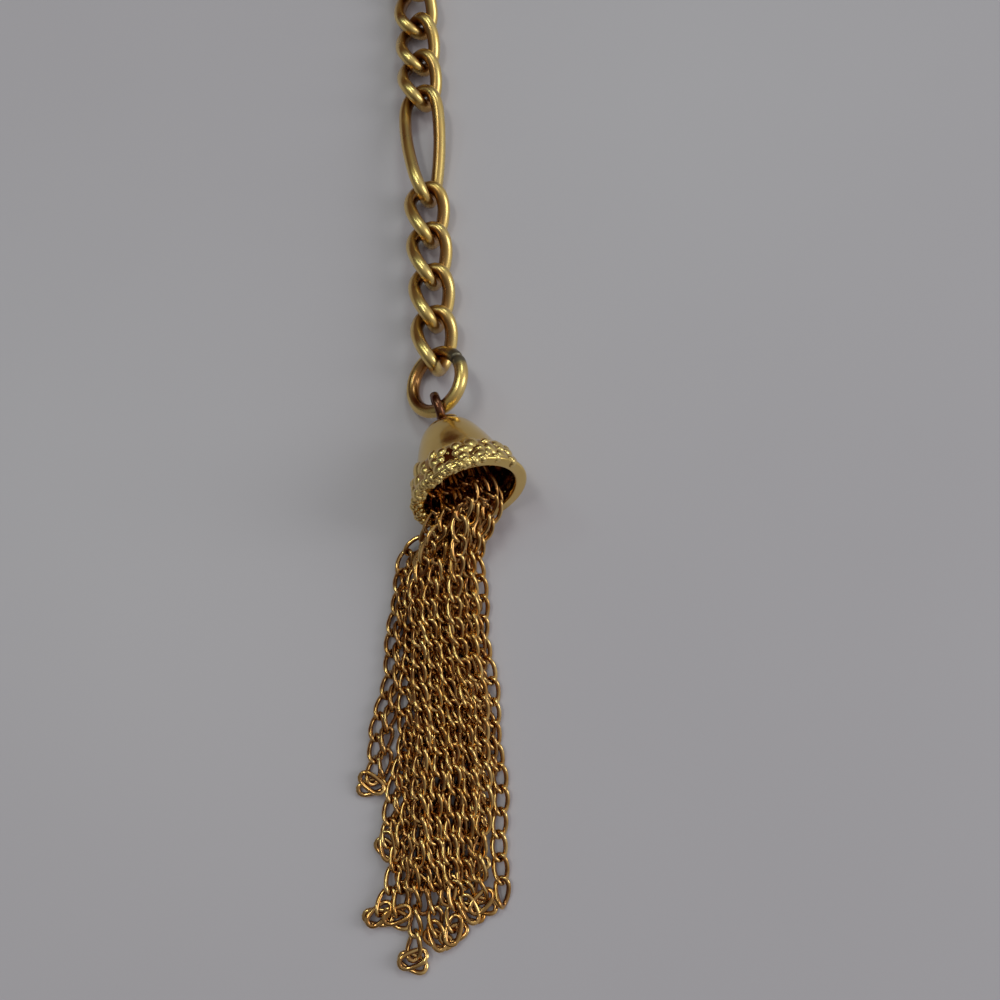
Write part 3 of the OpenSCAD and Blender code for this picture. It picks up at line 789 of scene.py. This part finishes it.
def make_bell(material):
    """The bell cap: a smooth dome, a band of grains and a rolled lip, with painted shade inside."""
    rows = [(r[1] * BELL_DIA / 2, r[0] * BELL_LEN) for r in BELL_OUTSIDE]
    lip = [(r[1] * BELL_DIA / 2, r[0] * BELL_LEN) for r in BELL_LIP]
    outside = catmull(rows, 0.16)
    rolled = catmull([rows[-1], *lip], 0.1)[1:]
    inner_lip = catmull([
        lip[-1],
        (BELL_DIA / 2 - LIP_WID, BELL_LEN - 0.02),
        (BELL_DIA / 2 - LIP_WID - 0.15, BELL_LEN - LIP_WID / 2),
        (BELL_DIA / 2 - LIP_WID, BELL_LEN - LIP_WID),
    ], 0.12)[1:]
    inside = [(r[0] - BELL_WALL, r[1]) for r in rows[2:-1]][::-1]
    inside = catmull([inner_lip[-1], *inside, (BELL_HOLE / 2, BELL_WALL), (BELL_HOLE / 2, 0.05)], 0.25)[1:]
    profile = np.vstack([outside, rolled, inner_lip, inside])
    # Painted shade inside, between the grains of the band and in the groove between band and lip
    shade = np.zeros(len(profile))
    shade[len(outside) + len(rolled) + len(inner_lip):] = 1.0
    band = outside[:, 1] > BAND_START * BELL_LEN
    shade[:len(outside)][band] = 0.8
    shade[len(outside) - 2:len(outside) + 2] = 1.0
    parts = Parts()
    revolve(parts, profile, 128, shade)
    rng = np.random.default_rng(SEED)
    for row, place in enumerate(GRAIN_PLACES):
        count = int(2 * math.pi * (outside_at(place) - GRAIN_SINK) / GRAIN_STEP)
        for k in range(count):
            angle = (k + row / 2 + rng.uniform(-0.3, 0.3)) * 2 * math.pi / count
            radius = rng.uniform(*GRAIN_RADII)
            sunk = GRAIN_TOP - min(radius, GRAIN_DEPTH) + rng.uniform(-0.06, 0.0)
            along = place * BELL_LEN + rng.uniform(-0.2, 0.2)
            grain(parts, rng, angle, outside_at(place) + sunk, along, radius)
    for _ in range(SMALL_GRAINS):
        place = rng.uniform(*SMALL_GRAIN_PLACES)
        radius = rng.uniform(*SMALL_GRAIN_RADII)
        angle = rng.uniform(0, 2 * math.pi)
        grain(parts, rng, angle, outside_at(place) + 0.1 - radius, place * BELL_LEN, radius)
    for _ in range(EDGE_GRAINS):
        radius = rng.uniform(*EDGE_GRAIN_RADII)
        angle = math.radians(rng.uniform(*LIP_GRAINS))
        along = BELL_LEN * rng.uniform(0.94, 0.975)
        grain(parts, rng, angle, BELL_DIA / 2 + 0.18 - radius, along, radius)
        radius = rng.uniform(*EDGE_GRAIN_RADII)
        angle = math.radians(rng.uniform(*MOUTH_GRAINS))
        ring = BELL_DIA / 2 - rng.uniform(0.3, 0.9)
        grain(parts, rng, angle, ring, BELL_LEN + 0.2 - radius, radius)
    piece = parts.build("bell_cap_cast", material)
    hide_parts("bell_cap")


def grain(parts, rng, angle, ring, along, radius):
    """One grain at an angle round the bell cap's axis and a distance from it."""
    out = math.cos(angle) * BELL_RIGHT + math.sin(angle) * BELL_UP
    round_way = -math.sin(angle) * BELL_RIGHT + math.cos(angle) * BELL_UP
    centre = BELL_TOP + ring * out + along * BELL_AXIS
    radii = radius * np.array([rng.uniform(0.85, 1.3), rng.uniform(0.8, 1.15), rng.uniform(0.9, 1.0)])
    radii[2] = min(radii[2], GRAIN_DEPTH)
    turn = rng.uniform(0, math.pi)
    first = math.cos(turn) * round_way + math.sin(turn) * BELL_AXIS
    second = -math.sin(turn) * round_way + math.cos(turn) * BELL_AXIS
    ball(parts, centre, radii, [first, second, out], 8, 14, 0.0, GRAIN_DULL)


def make_hanger(material):
    """The hanger: a wire bent into an eye round the jump ring, its shank through the top of the bell cap and its
    other end folded down beside it."""
    eye = (EYE_BORE + HANGER_WIRE) / 2
    t = np.radians(np.linspace(*EYE_ARC, 72))
    shank = np.linspace(HEAD_ALONG - HANGER_WIRE, 0.35, 8)
    up = np.r_[0 * shank, np.cos(t) * eye]
    along = np.r_[shank, -EYE_OUT - np.sin(t) * eye]
    side = np.r_[0 * shank, np.linspace(0, 0.12, len(t))]
    path = in_bell(side, up, along)
    ups = np.tile(BELL_RIGHT, (len(path), 1))
    points, faces = tube(path, ups, HANGER_WIRE / 2, 20, False, squash=EYE_SQUASH)
    parts = Parts()
    # The eye is painted in full shade, as its painted shadow
    parts.add(points, faces, 1.0)
    fold = catmull(HANGER_FOLD, 0.08)
    path = in_bell(*fold.T)
    last = len(path) - 1
    radius = np.interp(np.arange(len(path)), [0, 2, last - 3, last], [0.1, 0.3, 0.3, 0.14])
    points, faces = tube(path, np.tile(-BELL_AXIS, (len(path), 1)), radius, 16, False)
    parts.add(points, faces, 0.0)
    # The head on the shank, inside the bell cap, has painted shade
    disc(parts, SHANK_HEAD, HEAD_ALONG - 2 * HANGER_WIRE, HANGER_WIRE, 24, 0.8)
    piece = parts.build("hanger_wire_eye", material)
    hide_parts("hanger_eye")


# The tassel


def strand_lines():
    """The middle line of each strand, from under the head over its route."""
    lines = []
    places = np.array(STRAND_PLACES) * BELL_DIA / 100
    for place, over, route in zip(places, STRAND_EXITS, STRAND_ROUTES):
        start = in_bell([place[0] * 0.5], [place[1] * 0.5 + HEAD_LIFT], [HEAD_ALONG + HEAD_THICK / 2])
        throat = in_bell([place[0] * 0.9], [place[1] * 0.9], [0.75 * BELL_LEN])
        mouth = in_bell([place[0]], [place[1]], [BELL_LEN])
        over = np.array(over) * (BELL_DIA / 100, BELL_DIA / 100, 1)
        way = np.array(route) * (TASSEL_LEN / 100, TASSEL_LEN / 100, 1)
        way = np.vstack([over, way]) + (MOUTH[0], MOUTH[1], 0)
        lines.append(catmull(np.vstack([start, throat, mouth, way]), FINE_PITCH / 2))
    return lines


def settle(lines):
    """Pushes crossing strands apart, keeps them above the surface and about as long, and holds their starts."""
    held_points, height_weight, push_share, longest_push = 4, 1.4, 0.25, 0.2
    sizes = [len(line) for line in lines]
    points = np.vstack(lines)
    goal = points.copy()
    owner = np.repeat(np.arange(len(lines)), sizes)
    hold = np.where(np.isin(owner, OUTER_STRANDS), HOLD_OUTER, HOLD_INNER)[:, None]
    first = np.r_[0, np.cumsum(sizes)[:-1]]
    held = np.zeros(len(points), bool)
    for start in first:
        held[start:start + held_points] = True
    joined = np.ones(len(points) - 1, bool)
    joined[first[1:] - 1] = False
    a, b = np.nonzero(joined)[0], np.nonzero(joined)[0] + 1
    rest = np.linalg.norm(points[b] - points[a], axis=1)
    for _ in range(SETTLE_ROUNDS):
        points += hold * (goal - points)
        delta = (points[:, None, :] - points[None, :, :]) * (1, 1, height_weight)
        distance = np.linalg.norm(delta, axis=2) + 1e-9
        near = (distance < STRANDS_APART) & (owner[:, None] != owner[None, :])
        push = np.where(near, (STRANDS_APART - distance) / distance * push_share, 0)
        move = (delta * push[:, :, None]).sum(1)
        length = np.linalg.norm(move, axis=1, keepdims=True)
        move *= np.minimum(1, longest_push / np.maximum(length, 1e-9))
        points += np.where(held[:, None], 0, move)
        for _ in range(3):
            span = points[b] - points[a]
            size = np.linalg.norm(span, axis=1)
            fix = span * ((size - rest) / size / 2)[:, None]
            np.add.at(points, a, np.where(held[a][:, None], 0, fix))
            np.add.at(points, b, np.where(held[b][:, None], 0, -fix))
        points[:, 2] = np.maximum(points[:, 2], STRAND_HEIGHT)
    return [points[s:s + n] for s, n in zip(first, sizes)]


def fine_link(parts, centre, ahead, roll, twist, dark=0.0, detail=STRAND_DETAIL):
    """One link of the fine chain, kept clear of the surface, with painted shade on its inner side. dark is how much
    more painted shade it has all round.
    """
    samples, sides = detail
    ahead = unit(ahead)
    side = unit(np.cross(ahead, (0, 0, 1)))
    up = np.cross(side, ahead)
    line, ups = link_line(FINE_LEN, FINE_WID, roll, twist, FINE_LEN, samples)
    path = centre + placed(line, ahead, side, up)
    points, faces = tube(path, placed(ups, ahead, side, up), FINE_WIRE / 2, sides, True, flat=FINE_FLAT)
    # Painted shade on the wire's inner side
    shade = inner_shade(points, path, centre, sides)
    points[:, 2] += max(0.0, SURFACE_GAP - points[:, 2].min())
    parts.add(points, faces, with_more_shade(shade, dark))


def inside_mouth(centre):
    """1 well inside the bell cap, 0 from a little outside its mouth on."""
    depth = BELL_LEN - np.dot(centre - BELL_TOP, BELL_AXIS)
    return float(np.clip(0.35 + depth / 2.5, 0, 1))


def fine_strand(parts, rng, line, roll_range, dark, detail, past=0.5):
    """A strand of fine chain that stops past before a line's end. Returns its last link's middle and direction."""
    line = np.vstack([line, line[-1] + unit(line[-1] - line[-3]) * FINE_LEN])
    fine = resampled(catmull(line, 0.2), 0.1)
    run = run_along(fine)
    ahead = unit(np.gradient(fine, axis=0))
    beside = unit(np.cross(ahead, (0, 0, 1)))
    wave = WAVE_SIZE * np.sin(2 * math.pi * run / rng.uniform(8, 12) + rng.uniform(0, 2 * math.pi))
    fine = fine + beside * (wave * np.clip((run - 7) / 4, 0, 1))[:, None]
    count = int(round((run[-1] - (past + FINE_LEN)) / FINE_PITCH))
    knots = np.arange(0, count + 4, 3)
    drift = np.interp(np.arange(count), knots, rng.uniform(-roll_range, roll_range, len(knots)))

    def spot(where):
        return np.array([np.interp(where, run, fine[:, k]) for k in range(3)])

    for j in range(count):
        at = FINE_LEN / 2 + j * FINE_PITCH
        centre, heading = spot(at), spot(at + 1) - spot(at - 1)
        # Painted shade inside the bell cap's mouth
        shade = with_more_shade(dark, MOUTH_SHADE * inside_mouth(centre))
        roll = drift[j] + rng.uniform(-ROLL_JITTER, ROLL_JITTER)
        fine_link(parts, centre, heading, roll, FINE_TWIST, shade, detail)
    return centre, unit(heading)


def strand_end(parts, rng, centre, ahead):
    """Two loose links at a strand's end: one lies crosswise and the other on top of it."""
    flat = unit(np.array([ahead[0], ahead[1], 0]))
    first = math.radians(rng.choice([-1, 1]) * rng.uniform(55, 80))
    second = first + math.radians(rng.choice([-1, 1]) * rng.uniform(40, 60))
    place = centre + flat * (FINE_LEN / 2 + FINE_WID / 2 - FINE_WIRE * 0.9)
    for turn, height, back in ((first, 0.42, 0), (second, 0.85, 0.35)):
        across = np.array([flat[0] * math.cos(turn) - flat[1] * math.sin(turn),
                           flat[0] * math.sin(turn) + flat[1] * math.cos(turn), 0])
        spot = place - flat * back
        spot[2] = height
        fine_link(parts, spot, across, 0, 14)


def between_lines(first, second, share, end, height):
    """A line between two others, which stops at a share of the shorter one. Outside the bell cap it keeps below the
    given height."""
    steps = np.linspace(0, end, 60)
    length = min(len(first), len(second)) - 1
    line = np.stack([
        (1 - share) * np.interp(steps * length, np.arange(len(first)), first[:, k])
        + share * np.interp(steps * length, np.arange(len(second)), second[:, k]) for k in range(3)], 1)
    outside = np.array([1 - inside_mouth(p) for p in line])
    line[:, 2] = np.where(outside > 0.9, np.minimum(line[:, 2], height), line[:, 2])
    return resampled(line, FINE_PITCH / 2)


def make_tassel(material):
    """Thirteen strands of fine curb chain, hung from a head inside the bell cap, with darker ones between them, whose
    darkness is painted shade.
    """
    rng = np.random.default_rng(SEED + 1)
    parts = Parts()
    # The head inside the bell cap is painted in full shade
    disc(parts, HEAD_DIA / 2, HEAD_ALONG, HEAD_THICK, 32, 1.0)
    lines = settle(strand_lines())
    size, place, reach = LEFT_BOW
    lines[0][:, 0] -= size * np.exp(-(((lines[0][:, 1] - place) / reach) ** 2))
    for i, line in enumerate(lines):
        roll = OUTER_ROLL if i in OUTER_STRANDS else INNER_ROLL
        centre, ahead = fine_strand(parts, rng, line, roll, 0.0, STRAND_DETAIL, STRAND_CUTS.get(i, 0.5))
        if i != RIGHT_STRAND:
            strand_end(parts, rng, centre, ahead)
    for first, second, end, height in FILLER_STRANDS:
        line = between_lines(lines[first], lines[second], rng.uniform(0.4, 0.6), end, height)
        # These strands have painted shade all round
        fine_strand(parts, rng, line, FILLER_ROLL, FILLER_SHADE, FILLER_DETAIL)
    piece = parts.build("tassel_chains", material)
    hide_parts("tassel")


# The setting


def box_mm(node):
    """A CAD node's box in millimetres, with the jump ring's middle at x = 0 and y = 0."""
    low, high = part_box(node)
    return np.array(low) / MM - ORIGIN, np.array(high) / MM - ORIGIN


def toward(azimuth, elevation):
    """A direction: azimuth clockwise from +Y seen from above, both in degrees."""
    a, e = math.radians(azimuth), math.radians(elevation)
    return Vector((math.sin(a) * math.cos(e), math.cos(a) * math.cos(e), math.sin(e)))


def area_light(name, azimuth, elevation, size, radiance, colour):
    """A soft light that faces the part. size is its width and height in metres; radiance is what it gives off."""
    data = bpy.data.lights.new(name, "AREA")
    data.shape = "ELLIPSE"
    data.size, data.size_y = size
    data.energy = radiance * math.pi * size[0] * size[1] * math.pi / 4
    data.color = colour
    lamp = bpy.data.objects.new(name, data)
    bpy.context.scene.collection.objects.link(lamp)
    middle = Vector(ORIGIN * MM)
    lamp.location = middle + toward(azimuth, elevation) * LAMP_DISTANCE
    lamp.rotation_euler = (-toward(azimuth, elevation)).to_track_quat("-Z", "Y").to_euler()


def make_world():
    """A room: light overhead and towards the window at the right, dim where the onlooker stands, with dark wood."""
    world = bpy.data.worlds.new("room")
    world.use_nodes = True
    nodes, links = world.node_tree.nodes, world.node_tree.links
    coords = nodes.new("ShaderNodeTexCoord")

    def lobe(azimuth, elevation, power, strength):
        dot = nodes.new("ShaderNodeVectorMath")
        dot.operation = "DOT_PRODUCT"
        dot.inputs[1].default_value = toward(azimuth, elevation)
        links.new(coords.outputs["Generated"], dot.inputs[0])
        facing = calculated(nodes, links, "MAXIMUM", dot.outputs["Value"], 0)
        narrow = calculated(nodes, links, "POWER", facing, power)
        return calculated(nodes, links, "MULTIPLY", narrow, strength)

    def total(rows, base, clamp):
        run = base
        for row in rows:
            run = calculated(nodes, links, "ADD", run, lobe(*row), clamp)
        return run

    background = nodes["Background"]
    wood = mixed(nodes, links, total(WOOD_LOBES, 0, True), WORLD_COLOUR, WOOD_COLOUR)
    links.new(wood, background.inputs["Color"])
    links.new(total(WORLD_LOBES, WORLD_LEVEL, False), background.inputs["Strength"])
    bpy.context.scene.world = world


def make_setting():
    """The table, the room and the lamps."""
    bpy.ops.mesh.primitive_plane_add(size=FLOOR_SIZE, location=(0, 0, -FLOOR_DROP))
    floor = bpy.context.object
    floor.name = "table"
    floor.data.materials.append(surface_material())
    make_world()
    for row in LAMPS:
        area_light(*row)
    bpy.context.scene.view_settings.view_transform = "Standard"


def make_camera():
    """The photograph's view: steeply down, with the chain running up and a little left."""
    x, y = CAMERA_RIGHT
    down = math.radians(CAMERA_DOWN)
    right = Vector((x, y, 0))
    ahead = Vector((-y * math.cos(down), x * math.cos(down), -math.sin(down)))
    up = right.cross(ahead)
    data = bpy.data.cameras.new("camera")
    data.sensor_width = SENSOR_WIDTH
    data.lens = CAMERA_LENS
    data.clip_start = 0.005
    data.clip_end = 20
    camera = bpy.data.objects.new("camera", data)
    bpy.context.scene.collection.objects.link(camera)
    turn = Matrix((right, up, -ahead)).transposed().to_4x4()
    camera.matrix_world = Matrix.Translation(Vector((np.array(CAMERA_PLACE) + ORIGIN) * MM)) @ turn
    bpy.context.scene.camera = camera


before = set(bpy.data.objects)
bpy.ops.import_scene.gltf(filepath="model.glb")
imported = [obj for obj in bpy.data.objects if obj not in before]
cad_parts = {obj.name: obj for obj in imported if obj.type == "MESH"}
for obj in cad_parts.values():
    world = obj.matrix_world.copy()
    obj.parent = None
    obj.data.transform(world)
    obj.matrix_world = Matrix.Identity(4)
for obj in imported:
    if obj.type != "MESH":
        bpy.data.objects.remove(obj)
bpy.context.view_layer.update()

# Places in millimetres are counted from the jump ring's middle, which is found here with an origin of zero
ORIGIN = np.zeros(3)
jump_low, jump_high = box_mm("jump_ring")
ORIGIN = np.array([(jump_low[0] + jump_high[0]) / 2, (jump_low[1] + jump_high[1]) / 2, 0])

junction_low, junction_high = box_mm("junction_ring")
JUNCTION_Y = (junction_low[1] + junction_high[1]) / 2

# The bell cap's own frame: its axis towards the mouth, its right, its up and its top, behind the hanger's eye
tilt, turn = math.radians(BELL_TILT), math.radians(BELL_TURN)
BELL_AXIS = np.array([math.sin(turn) * math.cos(tilt), -math.cos(turn) * math.cos(tilt), math.sin(tilt)])
BELL_RIGHT = np.array([math.cos(turn), math.sin(turn), 0])
BELL_UP = np.cross(BELL_RIGHT, -BELL_AXIS)
EYE_OUT = EYE_BORE / 2 + HANGER_WIRE
JUMP_END = JUMP_DIA / 2 * math.cos(math.radians(JUMP_RISE))
JUMP_HEIGHT = (jump_low[2] + jump_high[2]) / 2
BELL_TOP = np.array([
    EYE_OUT * BELL_AXIS[0],
    -JUMP_END + EYE_OUT * BELL_AXIS[1],
    JUMP_HEIGHT + JUMP_DIA / 2 * math.sin(math.radians(JUMP_RISE)) + EYE_OUT * BELL_AXIS[2],
])
MOUTH = BELL_TOP + BELL_LEN * BELL_AXIS

chain_gold = gold("chain_gold", *CHAIN_METAL)
ring_gold = gold("ring_gold", *RING_METAL)
hanger_gold = gold("hanger_gold", *HANGER_METAL, shade_colour=EYE_SHADOW_COLOUR)
bell_gold = gold("bell_gold", *BELL_METAL, dull=GRAIN_COLOUR)
tassel_gold = gold("tassel_gold", *TASSEL_METAL)

make_setting()
make_camera()
make_drop_links(chain_gold)
make_neck_chain(-1, "neck_chain_left", chain_gold)
make_neck_chain(1, "neck_chain_right", chain_gold)
make_junction_ring(ring_gold)
make_clasp(ring_gold)
make_jump_ring(ring_gold)
make_hanger(hanger_gold)
make_bell(bell_gold)
make_tassel(tassel_gold)
